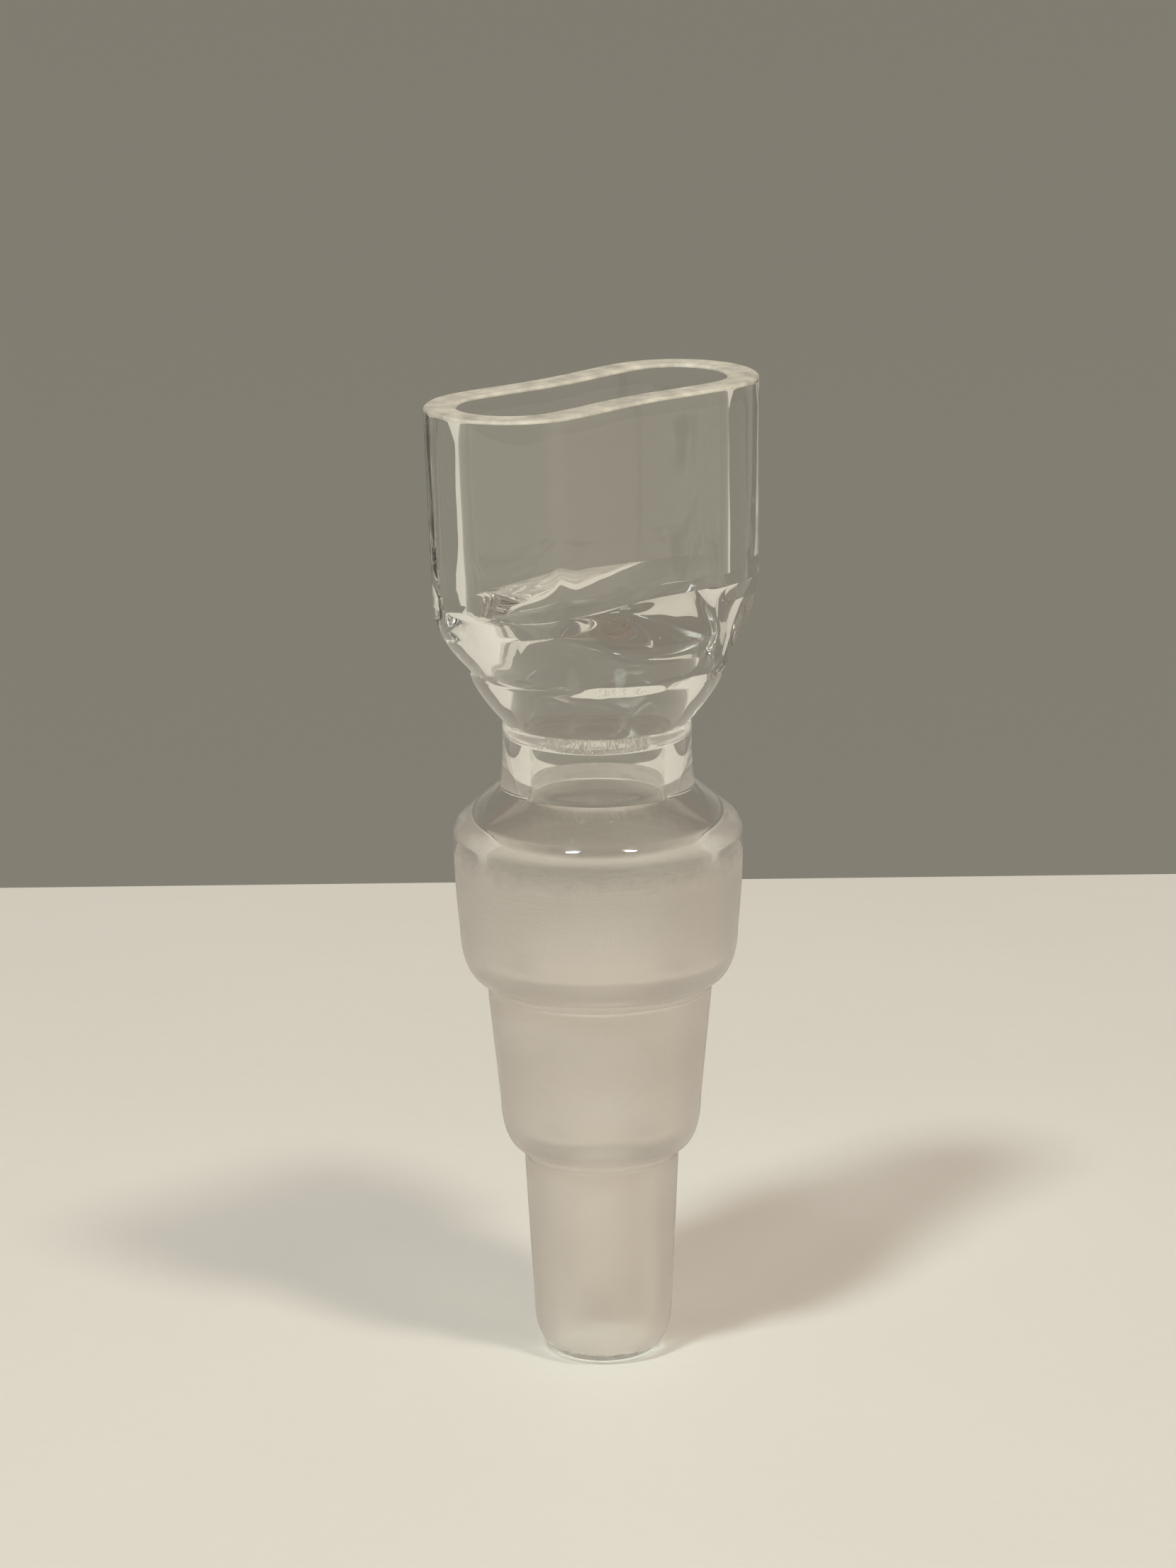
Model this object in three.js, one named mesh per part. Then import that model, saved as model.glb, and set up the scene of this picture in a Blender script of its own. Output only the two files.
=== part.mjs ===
// A flat-mouthed glass adapter with a ground joint in three sizes, standing on its open tip.
// Millimetres, +Z up. The origin is the centre of the tip's end face, and the mouth's long way lies along X.
//
// The glass is worked in sections fused end to end. Each section is a closed ring with a flat face at each
// weld, and neighbours take the height and the radii of the weld between them from the same values.

import * as THREE from 'three';
import { ParametricGeometry } from 'three/addons/geometries/ParametricGeometry.js';

// ---- Driving dimensions -------------------------------------------------------------------------

// Length of each section along the axis, from the tip upwards.
const TIP_LENGTH = 3.2;
const SMALL_JOINT_LENGTH = 10.3;
const MIDDLE_JOINT_LENGTH = 11.5;
const LARGE_JOINT_LENGTH = 10.4;
const JOINT_SHOULDER_LENGTH = 3.3;
const NECK_LENGTH = 2.9;
const WAIST_SEAM_LENGTH = 2.2;
const CUP_LENGTH = 2.8;
const MOUTH_SHOULDER_LENGTH = 5.6;
const MOUTH_TUBE_LENGTH = 10.6;
const MOUTH_RIM_LENGTH = 1.8;

// Tip: the flat end face, and the hole that the fire-polished lip leaves.
const TIP_FACE_DIAMETER = 5.4;
const TIP_HOLE_DIAMETER = 4.5;
const TIP_HOLE_LENGTH = 1.1;

// Ground joints: diameter at the wide end, loss of diameter per millimetre towards the tip, and bore.
const SMALL_JOINT_DIAMETER = 10.1;
const SMALL_TAPER = 1 / 10;
const SMALL_BORE = 6.2;
const MIDDLE_JOINT_DIAMETER = 14.65;
const MIDDLE_TAPER = 1 / 5;
const MIDDLE_BORE = 9.8;
const LARGE_JOINT_DIAMETER = 18.8;
const LARGE_BOW = 0.34;
const LARGE_BORE = 14.6;

// Heel: the rounded narrow end of a larger joint, above a small hollow where it meets the joint below.
const HOLLOW_LENGTH = 0.75;
const HOLLOW_DEPTH = 0.25;
const HEEL_LENGTH = 3.3;
const BORE_STEP_LENGTH = 3;

// Joint shoulder and neck.
const CROWN_RADIUS = 1.7;
const CROWN_SWEEP = THREE.MathUtils.degToRad(54);
const SHOULDER_BORE_LENGTH = 2.6;
const NECK_FOOT_DIAMETER = 12.7;
const NECK_BORE = 8.8;

// Waist and cup.
const WAIST_DIAMETER = 12.24;
const WAIST_BAND = 1.5;
const CUP_DIAMETER = 16.9;
const CUP_BORE = 12.6;
const CUP_ROUNDNESS = 0.5;

// Mouth: a stadium whose flats dip inwards half way along. Its length is the rim's, and each end leans out
// to it.
const MOUTH_LENGTH = 25.1;
const MOUTH_WIDTH = 11.2;
const MOUTH_WALL = 2.1;
const NEAR_END_LEAN = 0.55;
const FAR_END_LEAN = 0.2;
const MOUTH_DIP = 0.45;
const RIM_ROUND = 0.3;

// Mouth shoulder: how far above the cup each side starts to turn from round to flat, and how far below the
// shoulder's top it is fully turned. The bore turns lower than the outside on the flats, and higher at the
// ends.
const FLAT_CREASE_DROP = 0.5;
const FLAT_SHELF_LENGTH = 2.4;
const NEAR_END_START = 0.1;
const NEAR_END_DROP = 0.8;
const FAR_END_START = 0.1;
const FAR_END_DROP = 2;
const FLAT_BORE_DROP = 1.4;
const END_BORE_RISE = 0.7;
const END_WIDTH = 0.45;

// Facets.
const ROUND_SIDES = 36;
const MOUTH_SIDES = 60;
const CURVE_STEPS = 4;
const SHOULDER_STEPS = 8;

// ---- Heights of the welds, from the tip upwards -------------------------------------------------

const TIP_TOP = TIP_LENGTH;
const SMALL_TOP = TIP_TOP + SMALL_JOINT_LENGTH;
const MIDDLE_TOP = SMALL_TOP + MIDDLE_JOINT_LENGTH;
const LARGE_TOP = MIDDLE_TOP + LARGE_JOINT_LENGTH;
const SHOULDER_TOP = LARGE_TOP + JOINT_SHOULDER_LENGTH;
const NECK_TOP = SHOULDER_TOP + NECK_LENGTH;
const SEAM_TOP = NECK_TOP + WAIST_SEAM_LENGTH;
const CUP_TOP = SEAM_TOP + CUP_LENGTH;
const MOUTH_SHOULDER_TOP = CUP_TOP + MOUTH_SHOULDER_LENGTH;
const MOUTH_TUBE_TOP = MOUTH_SHOULDER_TOP + MOUTH_TUBE_LENGTH;
const RIM_TOP = MOUTH_TUBE_TOP + MOUTH_RIM_LENGTH;

// ---- Materials ----------------------------------------------------------------------------------

function glass(color, roughness, opacity) {
  return new THREE.MeshStandardMaterial({ color, roughness, metalness: 0, transparent: true, opacity });
}

const clearGlass = () => glass(0xdfe3dc, 0.04, 0.35);
const groundGlass = () => glass(0xc9c2b2, 0.6, 0.85);
const cutGlass = () => glass(0xd6d0c0, 0.3, 0.6);

// ---- Round sections -----------------------------------------------------------------------------

const at = (radius, height) => new THREE.Vector2(radius, height);

// Points at equal steps along a curve, from its start to its end.
function curve(steps, point) {
  return Array.from({ length: steps + 1 }, (_, i) => point(i / steps));
}

// A ring whose outside runs upwards and whose bore runs back down.
function roundSection(name, material, outside, bore) {
  const geometry = new THREE.LatheGeometry([...outside, ...bore, outside[0].clone()], ROUND_SIDES);
  geometry.rotateX(Math.PI / 2);
  const mesh = new THREE.Mesh(geometry, material);
  mesh.name = name;
  return mesh;
}

// The hollow and the rounded heel, from the joint below (radius and height of the weld) out to a wider cone.
function heel(weldRadius, weldHeight, coneRadius) {
  const start = at(weldRadius + HOLLOW_DEPTH, weldHeight + HOLLOW_LENGTH);
  const depth = coneRadius - start.x;
  const round = (t) => at(
    start.x + depth * Math.sin(t * Math.PI / 2),
    start.y + HEEL_LENGTH * (1 - Math.cos(t * Math.PI / 2)),
  );
  return [at(weldRadius, weldHeight), ...curve(CURVE_STEPS, round)];
}

const smallFootRadius = (SMALL_JOINT_DIAMETER - SMALL_TAPER * SMALL_JOINT_LENGTH) / 2;

function polishedTip() {
  const faceRadius = TIP_FACE_DIAMETER / 2;
  const holeRadius = TIP_HOLE_DIAMETER / 2;
  const round = (t) => at(
    faceRadius + (smallFootRadius - faceRadius) * Math.sin(t * Math.PI / 2),
    TIP_LENGTH * (1 - Math.cos(t * Math.PI / 2)),
  );
  const bore = [at(SMALL_BORE / 2, TIP_TOP), at(holeRadius, TIP_HOLE_LENGTH), at(holeRadius, 0)];
  return roundSection('polished_tip', clearGlass(), curve(CURVE_STEPS, round), bore);
}

function smallJoint() {
  const outside = [at(smallFootRadius, TIP_TOP), at(SMALL_JOINT_DIAMETER / 2, SMALL_TOP)];
  const bore = [at(SMALL_BORE / 2, SMALL_TOP), at(SMALL_BORE / 2, TIP_TOP)];
  return roundSection('small_joint', groundGlass(), outside, bore);
}

function middleJoint() {
  const coneLength = MIDDLE_JOINT_LENGTH - HOLLOW_LENGTH - HEEL_LENGTH;
  const heelRadius = (MIDDLE_JOINT_DIAMETER - MIDDLE_TAPER * coneLength) / 2;
  const rounded = heel(SMALL_JOINT_DIAMETER / 2, SMALL_TOP, heelRadius);
  const outside = [...rounded, at(MIDDLE_JOINT_DIAMETER / 2, MIDDLE_TOP)];
  const bore = [
    at(MIDDLE_BORE / 2, MIDDLE_TOP),
    at(MIDDLE_BORE / 2, SMALL_TOP + BORE_STEP_LENGTH),
    at(SMALL_BORE / 2, SMALL_TOP),
  ];
  return roundSection('middle_joint', groundGlass(), outside, bore);
}

// The large joint bows out from its heel to its belt, which stands straight up at the weld.
function largeJoint() {
  const beltRadius = LARGE_JOINT_DIAMETER / 2;
  const heelTop = MIDDLE_TOP + HOLLOW_LENGTH + HEEL_LENGTH;
  const bow = (t) => at(beltRadius - LARGE_BOW * (1 - t) ** 2, heelTop + (LARGE_TOP - heelTop) * t);
  const rounded = heel(MIDDLE_JOINT_DIAMETER / 2, MIDDLE_TOP, beltRadius - LARGE_BOW);
  const outside = [...rounded, ...curve(CURVE_STEPS, bow).slice(1)];
  const bore = [
    at(LARGE_BORE / 2, LARGE_TOP),
    at(LARGE_BORE / 2, MIDDLE_TOP + BORE_STEP_LENGTH),
    at(MIDDLE_BORE / 2, MIDDLE_TOP),
  ];
  return roundSection('large_joint', groundGlass(), outside, bore);
}

function jointShoulder() {
  const crownCentre = LARGE_JOINT_DIAMETER / 2 - CROWN_RADIUS;
  const crown = (t) => at(
    crownCentre + CROWN_RADIUS * Math.cos(t * CROWN_SWEEP),
    LARGE_TOP + CROWN_RADIUS * Math.sin(t * CROWN_SWEEP),
  );
  const outside = [...curve(CURVE_STEPS, crown), at(NECK_FOOT_DIAMETER / 2, SHOULDER_TOP)];
  const bore = [
    at(NECK_BORE / 2, SHOULDER_TOP),
    at(NECK_BORE / 2, LARGE_TOP + SHOULDER_BORE_LENGTH),
    at(LARGE_BORE / 2, LARGE_TOP),
  ];
  return roundSection('joint_shoulder', clearGlass(), outside, bore);
}

function neck() {
  const flare = (NECK_FOOT_DIAMETER - WAIST_DIAMETER) / 2;
  const side = (t) => at(WAIST_DIAMETER / 2 + flare * (1 - t) ** 2, SHOULDER_TOP + NECK_LENGTH * t);
  const bore = [at(NECK_BORE / 2, NECK_TOP), at(NECK_BORE / 2, SHOULDER_TOP)];
  return roundSection('neck', clearGlass(), curve(CURVE_STEPS, side), bore);
}

// The flare from the waist to the cup, part cone and part round bowl, at a height above the waist band.
const FLARE_FOOT = NECK_TOP + WAIST_BAND;

function flareRadius(waistDiameter, cupDiameter, height) {
  const share = (height - FLARE_FOOT) / (CUP_TOP - FLARE_FOOT);
  const widening = THREE.MathUtils.lerp(share, Math.sin(share * Math.PI / 2), CUP_ROUNDNESS);
  return (waistDiameter + (cupDiameter - waistDiameter) * widening) / 2;
}

function waistSeam() {
  const outside = (height) => at(flareRadius(WAIST_DIAMETER, CUP_DIAMETER, height), height);
  const bore = (height) => at(flareRadius(NECK_BORE, CUP_BORE, height), height);
  return roundSection(
    'waist_seam',
    clearGlass(),
    [at(WAIST_DIAMETER / 2, NECK_TOP), outside(FLARE_FOOT), outside(SEAM_TOP)],
    [bore(SEAM_TOP), bore(FLARE_FOOT), at(NECK_BORE / 2, NECK_TOP)],
  );
}

function cup() {
  const height = (t) => SEAM_TOP + CUP_LENGTH * t;
  const outside = (t) => at(flareRadius(WAIST_DIAMETER, CUP_DIAMETER, height(t)), height(t));
  const bore = (t) => at(flareRadius(NECK_BORE, CUP_BORE, height(1 - t)), height(1 - t));
  return roundSection('cup', clearGlass(), curve(CURVE_STEPS, outside), curve(CURVE_STEPS, bore));
}

// ---- Flattened sections -------------------------------------------------------------------------

// Where a share of the way round a stadium lies, starting at its +X end, and which way its outside faces
// there. A flattened tube keeps its girth, so equal shares of girth stay together when the round cup turns
// flat.
function stadiumPoint(length, width, share) {
  const endRadius = width / 2;
  const flat = length - width;
  const quarter = (Math.PI * endRadius + flat) / 2;
  const turns = Math.floor(share * 4 + 1e-9) % 4;
  const mirrored = turns % 2 === 1;
  const local = share * 4 - Math.floor(share * 4 + 1e-9);
  const along = (mirrored ? 1 - local : local) * quarter;
  const arc = Math.PI * endRadius / 2;
  const angle = Math.min(along, arc) / endRadius;
  const x = flat / 2 - Math.max(along - arc, 0) + endRadius * Math.cos(angle);
  const y = endRadius * Math.sin(angle);
  const signX = turns === 1 || turns === 2 ? -1 : 1;
  const signY = turns > 1 ? -1 : 1;
  const dip = x < flat / 2 ? MOUTH_DIP * (1 + Math.cos(2 * Math.PI * x / flat)) / 2 : 0;
  return {
    x: signX * x,
    y: signY * (y - dip),
    facing: new THREE.Vector2(signX * Math.cos(angle), signY * Math.sin(angle)),
  };
}

// The mouth's outline at a height, on the outside (inset 0) or on the bore (inset by the wall).
function mouthPoint(height, share, inset) {
  const edge = stadiumPoint(MOUTH_LENGTH, MOUTH_WIDTH, share);
  const below = Math.min((RIM_TOP - height) / (RIM_TOP - MOUTH_SHOULDER_TOP), 1);
  const lean = edge.x > 0 ? FAR_END_LEAN : NEAR_END_LEAN;
  const x = edge.x * (1 - below * lean / (MOUTH_LENGTH / 2));
  return new THREE.Vector3(x - edge.facing.x * inset, edge.y - edge.facing.y * inset, height);
}

// How far the section has turned from round (0) to flat (1): a quarter-round shelf along each flat, and a
// belly at each end, the far one (+X) hanging lower than the near one.
function flatness(height, share, flatDrop, endRise) {
  const across = Math.cos(2 * Math.PI * share);
  const endness = THREE.MathUtils.smoothstep(Math.abs(across), END_WIDTH, 1);
  const progress = (start, end) => THREE.MathUtils.clamp((height - start) / (end - start), 0, 1);
  const crease = MOUTH_SHOULDER_TOP - FLAT_CREASE_DROP - flatDrop;
  const endStart = CUP_TOP + endRise + (across > 0 ? FAR_END_START : NEAR_END_START);
  const endTop = MOUTH_SHOULDER_TOP + endRise - (across > 0 ? FAR_END_DROP : NEAR_END_DROP);
  const shelf = progress(crease - FLAT_SHELF_LENGTH, crease);
  const belly = progress(endStart, endTop);
  const shelfTurn = 1 - Math.sqrt(1 - shelf ** 2);
  const bellyTurn = Math.sin(belly * Math.PI / 2);
  return THREE.MathUtils.lerp(shelfTurn, bellyTurn, endness);
}

function shoulderPoint(height, share, isBore) {
  const radius = (isBore ? CUP_BORE : CUP_DIAMETER) / 2;
  const angle = 2 * Math.PI * share;
  const round = new THREE.Vector3(radius * Math.cos(angle), radius * Math.sin(angle), height);
  const flat = mouthPoint(height, share, isBore ? MOUTH_WALL : 0);
  const flatDrop = isBore ? FLAT_BORE_DROP : 0;
  const endRise = isBore ? END_BORE_RISE : 0;
  return round.lerp(flat, flatness(height, share, flatDrop, endRise));
}

// A ring made of outlines: each function gives a point for a share of the way round, outside first and
// upwards, then the bore and downwards.
function flattenedSection(name, material, outlines) {
  const surface = (u, v, target) => {
    const row = Math.round(v * outlines.length) % outlines.length;
    target.copy(outlines[row](Math.round(u * MOUTH_SIDES) % MOUTH_SIDES / MOUTH_SIDES));
  };
  const mesh = new THREE.Mesh(new ParametricGeometry(surface, MOUTH_SIDES, outlines.length), material);
  mesh.name = name;
  return mesh;
}

function mouthShoulder() {
  const height = (t) => CUP_TOP + MOUTH_SHOULDER_LENGTH * t;
  const outside = curve(SHOULDER_STEPS, (t) => (share) => shoulderPoint(height(t), share, false));
  const bore = curve(SHOULDER_STEPS, (t) => (share) => shoulderPoint(height(1 - t), share, true));
  return flattenedSection('mouth_shoulder', clearGlass(), [...outside, ...bore]);
}

function mouthTube() {
  const edge = (height, inset) => (share) => mouthPoint(height, share, inset);
  return flattenedSection('mouth_tube', clearGlass(), [
    edge(MOUTH_SHOULDER_TOP, 0),
    edge(MOUTH_TUBE_TOP, 0),
    edge(MOUTH_TUBE_TOP, MOUTH_WALL),
    edge(MOUTH_SHOULDER_TOP, MOUTH_WALL),
  ]);
}

function mouthRim() {
  const edge = (height, inset) => (share) => mouthPoint(height, share, inset);
  return flattenedSection('mouth_rim', cutGlass(), [
    edge(MOUTH_TUBE_TOP, 0),
    edge(RIM_TOP - RIM_ROUND, 0),
    edge(RIM_TOP, RIM_ROUND),
    edge(RIM_TOP, MOUTH_WALL - RIM_ROUND),
    edge(RIM_TOP - RIM_ROUND, MOUTH_WALL),
    edge(MOUTH_TUBE_TOP, MOUTH_WALL),
  ]);
}

// ---- The adapter --------------------------------------------------------------------------------

const adapter = new THREE.Group();
adapter.add(
  polishedTip(),
  smallJoint(),
  middleJoint(),
  largeJoint(),
  jointShoulder(),
  neck(),
  waistSeam(),
  cup(),
  mouthShoulder(),
  mouthTube(),
  mouthRim(),
);

export default adapter;
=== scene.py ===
"""The look of a flat-mouthed glass adapter with a ground joint in three sizes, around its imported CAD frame.

Metres, +Z up, in the frame of the CAD model: the tip's end face is centred on the origin and the mouth's
long way lies along X. Every section of the glass is a closed piece of its own, and neighbours meet face to
face.
"""

import functools
import math

import bpy
import numpy as np
from mathutils import Matrix, Vector, noise


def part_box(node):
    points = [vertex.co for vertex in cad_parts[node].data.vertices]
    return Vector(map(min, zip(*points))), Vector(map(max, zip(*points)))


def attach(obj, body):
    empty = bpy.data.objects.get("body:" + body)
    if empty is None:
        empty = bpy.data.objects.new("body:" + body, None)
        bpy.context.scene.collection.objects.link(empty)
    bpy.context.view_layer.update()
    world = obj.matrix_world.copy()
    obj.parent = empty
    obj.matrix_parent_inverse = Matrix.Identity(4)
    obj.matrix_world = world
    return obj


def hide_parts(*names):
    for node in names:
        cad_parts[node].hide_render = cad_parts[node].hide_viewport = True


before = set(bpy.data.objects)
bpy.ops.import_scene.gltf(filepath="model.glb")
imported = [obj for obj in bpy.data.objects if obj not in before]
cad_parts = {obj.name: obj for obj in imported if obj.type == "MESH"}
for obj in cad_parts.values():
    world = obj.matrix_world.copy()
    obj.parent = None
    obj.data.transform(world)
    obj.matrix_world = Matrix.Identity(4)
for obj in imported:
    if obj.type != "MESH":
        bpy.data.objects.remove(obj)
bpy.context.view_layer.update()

bl_info = {
    "name": "Flat Mouth Glass Adapter",
    "version": (1, 0, 0),
    "blender": (4, 5, 0),
    "location": "3D View > Sidebar > Adapter",
    "description": "Builds a flat-mouthed glass adapter with a ground joint in three sizes",
    "category": "Add Mesh",
}

MM = 0.001
QUARTER = math.pi / 2
TOUCHING = 1e-9  # points closer than this are one point
ON_FACE = 1e-6  # a vertex closer than this to a height lies on the flat face there


# ---- Sizes, colours and lights that a user would change ----


def amount(name, description, value, **settings):
    """A number property."""
    return bpy.props.FloatProperty(name=name, description=description, default=value, **settings)


def size(name, description, millimetres):
    """A length property, given in millimetres and held in metres."""
    return amount(name, description, millimetres * MM, min=0, precision=5, unit="LENGTH")


def factor(name, description, value):
    """A share from 0 to 1."""
    return amount(name, description, value, min=0, max=1, subtype="FACTOR")


def colour(name, description, value):
    """A colour property of red, green and blue."""
    return bpy.props.FloatVectorProperty(
        name=name, description=description, default=value, size=3, min=0, max=1, subtype="COLOR"
    )


class JointSizes(bpy.types.PropertyGroup):
    """Shape of the round sections between their welds."""

    hollow_length: size("Hollow Length", "Height of the hollow under each larger joint", 0.75)
    hollow_depth: size("Hollow Depth", "How far the hollow flares out", 0.25)
    bead: size("Bead", "How far the hollow cuts in above the smaller joint's top edge", 0.14)
    heel_length: size("Heel Length", "Height of the rounded narrow end of a larger joint", 3.3)
    middle_heel_radius: size("Middle Heel Radius", "Radius of the middle joint above its heel", 6.58)
    large_bow: size("Large Joint Bow", "How much narrower the large joint is above its heel", 0.34)
    bore_step: size("Bore Step", "Height over which the bore widens at each joint", 3.0)
    lip_round: size("Lip Round", "Radius of the fire-polished edge round the tip's hole", 0.35)
    crown_radius: size("Crown Radius", "Radius of the shoulder's rounded edge", 1.7)
    crown_sweep: amount(
        "Crown Sweep",
        "How far round the shoulder's edge turns before it runs straight to the neck",
        math.radians(54),
        subtype="ANGLE",
    )
    shoulder_bore: size("Shoulder Bore", "Height over which the bore narrows to the neck", 2.6)
    waist_band: size("Waist Band", "Height of the straight band at the waist", 1.5)
    mark_count: bpy.props.IntProperty(name="Marks", description="Number of strokes in the seam", default=260)
    mark_length: size("Mark Length", "Length of the longest stroke in the seam", 0.8)
    mark_radius: size("Mark Radius", "Radius of the foot of a stroke", 0.045)
    mark_reach: size("Mark Reach", "How far in from the bore's wall the strokes are centred", 0.03)
    marks_foot: size("Marks Foot", "Height above the neck at which the lowest strokes stand", 0.25)
    marks_band: size("Marks Band", "Height over which the strokes are strewn", 0.75)
    bore_band: size("Bore Band", "Height of the straight band of the bore at the waist", 0.3)
    cup_roundness: factor("Cup Roundness", "How round the flare from the waist to the cup is", 0.5)
    bore_roundness: factor("Bore Roundness", "How round the same flare is in the bore", 0.0)


class MouthSizes(bpy.types.PropertyGroup):
    """Shape of the flattened sections between their welds."""

    wall: size("Wall", "Thickness of the glass round the mouth", 2.1)
    dip: size("Dip", "How far each flat dips inwards half way along", 0.45)
    near_lean: size("Near End Lean", "How far the -X end leans out from the shoulder to the rim", 0.55)
    far_lean: size("Far End Lean", "How far the +X end leans out from the shoulder to the rim", 0.2)
    rim_round: size("Rim Round", "Radius of the rim's edges", 0.3)
    crease_drop: size("Crease Drop", "How far the flats' crease lies below the mouth tube", 0.5)
    shelf: size("Shelf Length", "Height of the shelf under each flat", 2.4)
    near_start: size("Near Belly Start", "Height of the -X belly's foot above the cup", 0.1)
    near_drop: size("Near Belly Drop", "How far the -X belly ends below the mouth tube", 0.8)
    far_start: size("Far Belly Start", "Height of the +X belly's foot above the cup", 0.1)
    far_drop: size("Far Belly Drop", "How far the +X belly ends below the mouth tube", 2.0)
    bore_drop: size("Bore Crease Drop", "How much lower the bore's creases lie", 1.4)
    bore_rise: size("Bore Belly Rise", "How much higher the bore's bellies lie", 0.0)
    bore_roundness: factor("Bore Belly Roundness", "How round the bore's bellies are", 0.25)
    ripple: size("Ripple", "Depth of the ripples that the flame left in the bore", 0.05)


class GlassFinish(bpy.types.PropertyGroup):
    """Colours and finishes of the glass."""

    clear_tint: colour("Clear Tint", "What clear glass does to light that passes", (0.985, 0.985, 0.965))
    clear_roughness: factor("Clear Roughness", "How rough the clear glass is", 0.02)
    ground_tint: colour("Ground Tint", "Colour of the ground glass", (0.93, 0.86, 0.80))
    cut_tint: colour("Cut Tint", "Colour of the cut rim", (0.76, 0.70, 0.58))
    shade: colour("Shade", "Light that gets through each face of the glass", (0.52, 0.52, 0.52))
    fade_drop: size("Fade Drop", "How far below the large joint's top the grinding starts to fade", 2.0)
    fade: size("Fade", "Height over which the grinding fades out on the shoulder", 2.2)
    clear_foot: size("Clear Foot", "Height of the fire-polished foot that is not ground", 0.5)
    ground_roughness: factor("Ground Roughness", "How rough the ground cones are", 0.42)
    ground_transmission: factor("Ground Transmission", "How much of the light goes into ground glass", 0.75)
    grain: size("Grain", "Size of the grain of the ground glass", 0.12)


class StageLook(bpy.types.PropertyGroup):
    """Floor, background, lamps and camera."""

    floor_colour: colour("Floor", "Colour of the floor's paint", (0.80, 0.755, 0.675))
    wall_colour: colour("Background", "Colour of the background at the horizon", (0.222, 0.206, 0.168))
    warm: colour("Warm Lamp", "Colour of the lamp on the right", (1.0, 0.97, 0.88))
    cool: colour("Cool Lamp", "Colour of the lamp on the left", (0.84, 0.985, 1.0))
    sky_colour: colour("Sky", "Colour of the background overhead", (0.285, 0.205, 0.18))
    warm_power: amount("Warm Power", "Power of the lamp on the right", 3.4, unit="POWER")
    cool_power: amount("Cool Power", "Power of the lamp on the left", 5.4, unit="POWER")
    lamp_size: size("Lamp Size", "Diameter of each lamp", 130)
    lens: amount("Lens", "Focal length", 139.3, unit="CAMERA")


# ---- What the CAD frame gives ----


@functools.cache
def level(node):
    """Heights of the lower and upper weld of a CAD node."""
    low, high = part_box(node)
    return low.z, high.z


@functools.cache
def radii(node, height):
    """Bore and outer radius of a round CAD node's flat face at a height."""
    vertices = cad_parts[node].data.vertices
    reach = [math.hypot(v.co.x, v.co.y) for v in vertices if abs(v.co.z - height) < ON_FACE]
    return min(reach), max(reach)


# ---- Profiles of the round sections, as (radius, height) points from the lower weld to the upper one ----


def run(point, steps):
    """Points at equal steps along a curve, from its start to its end."""
    return [point(i / steps) for i in range(steps + 1)]


def line(start, end, steps=2):
    """Straight from start to end."""
    return run(lambda t: (start[0] + (end[0] - start[0]) * t, start[1] + (end[1] - start[1]) * t), steps)


def ease(start, end, steps=16):
    """From start to end, upright at both."""
    return run(
        lambda t: (
            start[0] + (end[0] - start[0]) * (1 - math.cos(math.pi * t)) / 2,
            start[1] + (end[1] - start[1]) * t,
        ),
        steps,
    )


def quarter(start, end, steps=18):
    """A quarter ellipse that leaves start sideways and reaches end upright."""
    return run(
        lambda t: (
            start[0] + (end[0] - start[0]) * math.sin(t * QUARTER),
            start[1] + (end[1] - start[1]) * (1 - math.cos(t * QUARTER)),
        ),
        steps,
    )


def hollow(start, end, steps=8):
    """A quarter ellipse that leaves start upright and reaches end sideways."""
    return run(
        lambda t: (
            start[0] + (end[0] - start[0]) * (1 - math.cos(t * QUARTER)),
            start[1] + (end[1] - start[1]) * math.sin(t * QUARTER),
        ),
        steps,
    )


def bend(before, corner, after, steps=10):
    """A soft bend round a corner."""
    a, b, c = (np.array(p) for p in (before, corner, after))
    return run(lambda t: tuple((1 - t) ** 2 * a + 2 * t * (1 - t) * b + t**2 * c), steps)


def joined(*runs):
    """Runs end to end, with each shared point kept once."""
    points = list(runs[0])
    for following in runs[1:]:
        points += following[1:] if math.dist(points[-1], following[0]) < TOUCHING else following
    return points


BEAD_STRETCH = 1.3  # height of the bead over its depth


def heel(shape, weld, top):
    """The bead, the hollow and the rounded narrow end of a larger joint."""
    bead = (weld[0] - shape.bead, weld[1] + shape.bead * BEAD_STRETCH)
    foot = (weld[0] + shape.hollow_depth, weld[1] + shape.hollow_length)
    return joined(bend(weld, (weld[0], bead[1]), bead, 5), hollow(bead, foot), quarter(foot, top))


def stepped_bore(shape, node):
    """A bore that widens in a soft step above the weld, and then runs straight."""
    low, high = level(node)
    narrow, wide = radii(node, low)[0], radii(node, high)[0]
    step = (wide, low + shape.bore_step)
    return joined(ease((narrow, low), step), line(step, (wide, high)))


def tip_profile(shape):
    """The rounded end, with a small lip round its hole."""
    low, high = level("polished_tip")
    hole, face = radii("polished_tip", low)
    bore, foot = radii("polished_tip", high)
    lip, throat = (hole + shape.lip_round, low), (hole, low + shape.lip_round)
    outside = joined(line(lip, (face, low)), quarter((face, low), (foot, high), 28))
    return outside, joined(quarter(lip, throat, 6), ease(throat, (bore, high)))


def small_joint_profile(shape):
    """A plain cone over a straight bore."""
    low, high = level("small_joint")
    bore, foot = radii("small_joint", low)
    return line((foot, low), (radii("small_joint", high)[1], high)), line((bore, low), (bore, high))


def middle_joint_profile(shape):
    """A heel and a plain cone."""
    low, high = level("middle_joint")
    foot = (shape.middle_heel_radius, low + shape.hollow_length + shape.heel_length)
    cone = line(foot, (radii("middle_joint", high)[1], high))
    weld = (radii("middle_joint", low)[1], low)
    return joined(heel(shape, weld, foot), cone), stepped_bore(shape, "middle_joint")


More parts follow.
